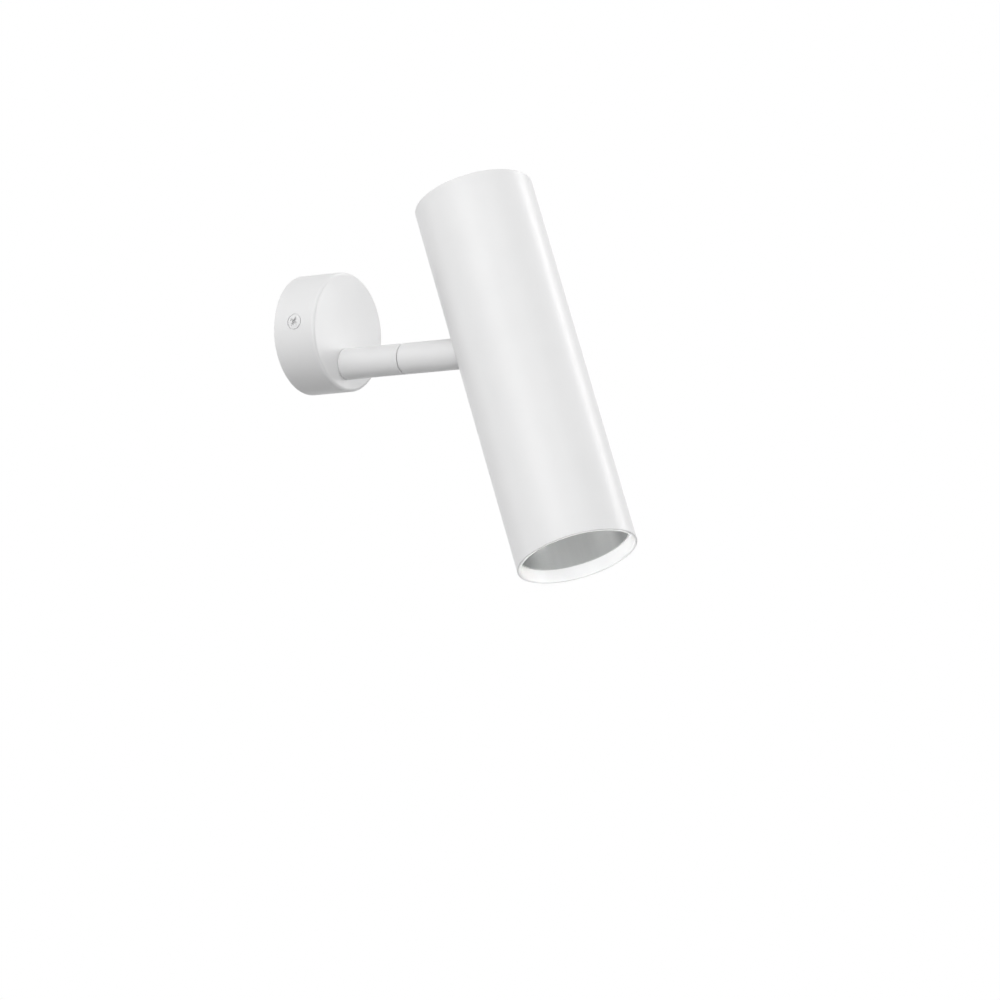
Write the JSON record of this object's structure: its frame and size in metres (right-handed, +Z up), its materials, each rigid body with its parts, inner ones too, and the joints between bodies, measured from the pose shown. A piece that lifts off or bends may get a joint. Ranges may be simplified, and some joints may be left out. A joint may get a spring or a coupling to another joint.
{
  "type": "wall spotlight",
  "caption": "White wall spotlight: a plain tube with a recessed reflector lamp tilts on a straight arm that swivels on a round wall rose.",
  "frame": {"origin": "centre of the rose's face on the wall", "axes": "+Y into the wall, +Z up, +X to the right for someone who faces the wall; the arm and the tube stand out towards -Y"},
  "size_m": [0.0608, 0.1946, 0.2055],
  "materials": {
    "white_paint": "satin",
    "ring_white": "satin",
    "white_screw": "satin",
    "zinc_steel": "satin",
    "black_steel": "satin",
    "satin_aluminium": "satin",
    "brass": "satin",
    "pin_metal": "polished",
    "block_plastic": "matte",
    "nylon": "matte",
    "ceramic": "matte",
    "lamp_housing": "satin",
    "lamp_lens": "gloss",
    "lead_insulation": "matte",
    "earth_insulation": "matte"
  },
  "bodies": {
    "rose": {"canopy": "white_paint", "canopy_screws": "white_screw", "wall_bracket": "zinc_steel", "terminal_block": "block_plastic", "terminal_sleeves": "brass", "terminal_screws": "brass", "block_screws": "zinc_steel", "earth_tag": "brass", "earth_screw": "brass", "arm_base": "white_paint", "stem_washer": "zinc_steel", "stem_nut": "zinc_steel", "stem_bushing": "nylon", "swivel_bolt": "zinc_steel", "swivel_ring": "nylon", "stop_pin": "zinc_steel", "rose_leads": "lead_insulation", "earth_lead": "earth_insulation"},
    "arm": {"arm_outer": "white_paint", "spring_washer": "zinc_steel", "pivot_tongue": "zinc_steel", "arm_set_screw": "black_steel", "arm_leads": "lead_insulation"},
    "head": {"head_tube": "white_paint", "top_cap": "white_paint", "head_bracket": "zinc_steel", "bracket_screws": "white_screw", "pivot_bolt": "zinc_steel", "pivot_nut": "zinc_steel", "friction_washers": "nylon", "lamp_holder": "ceramic", "holder_screws": "zinc_steel", "lamp_body": "lamp_housing", "lamp_lens": "lamp_lens", "lamp_pins": "pin_metal", "mouth_ring": "ring_white", "reflector_sleeve": "satin_aluminium", "head_leads": "lead_insulation"}
  },
  "joints": [
    {"name": "arm_swivel", "type": "hinge", "parent": "rose", "child": "arm", "pos_m": [0, -0.0595, -0.0165], "axis": [0, -1, 0], "range_deg": [-165, 165]},
    {"name": "head_tilt", "type": "hinge", "parent": "arm", "child": "head", "pos_m": [0, -0.126, -0.0165], "axis": [-1, 0, 0], "range_deg": [-31, 29]}
  ]
}
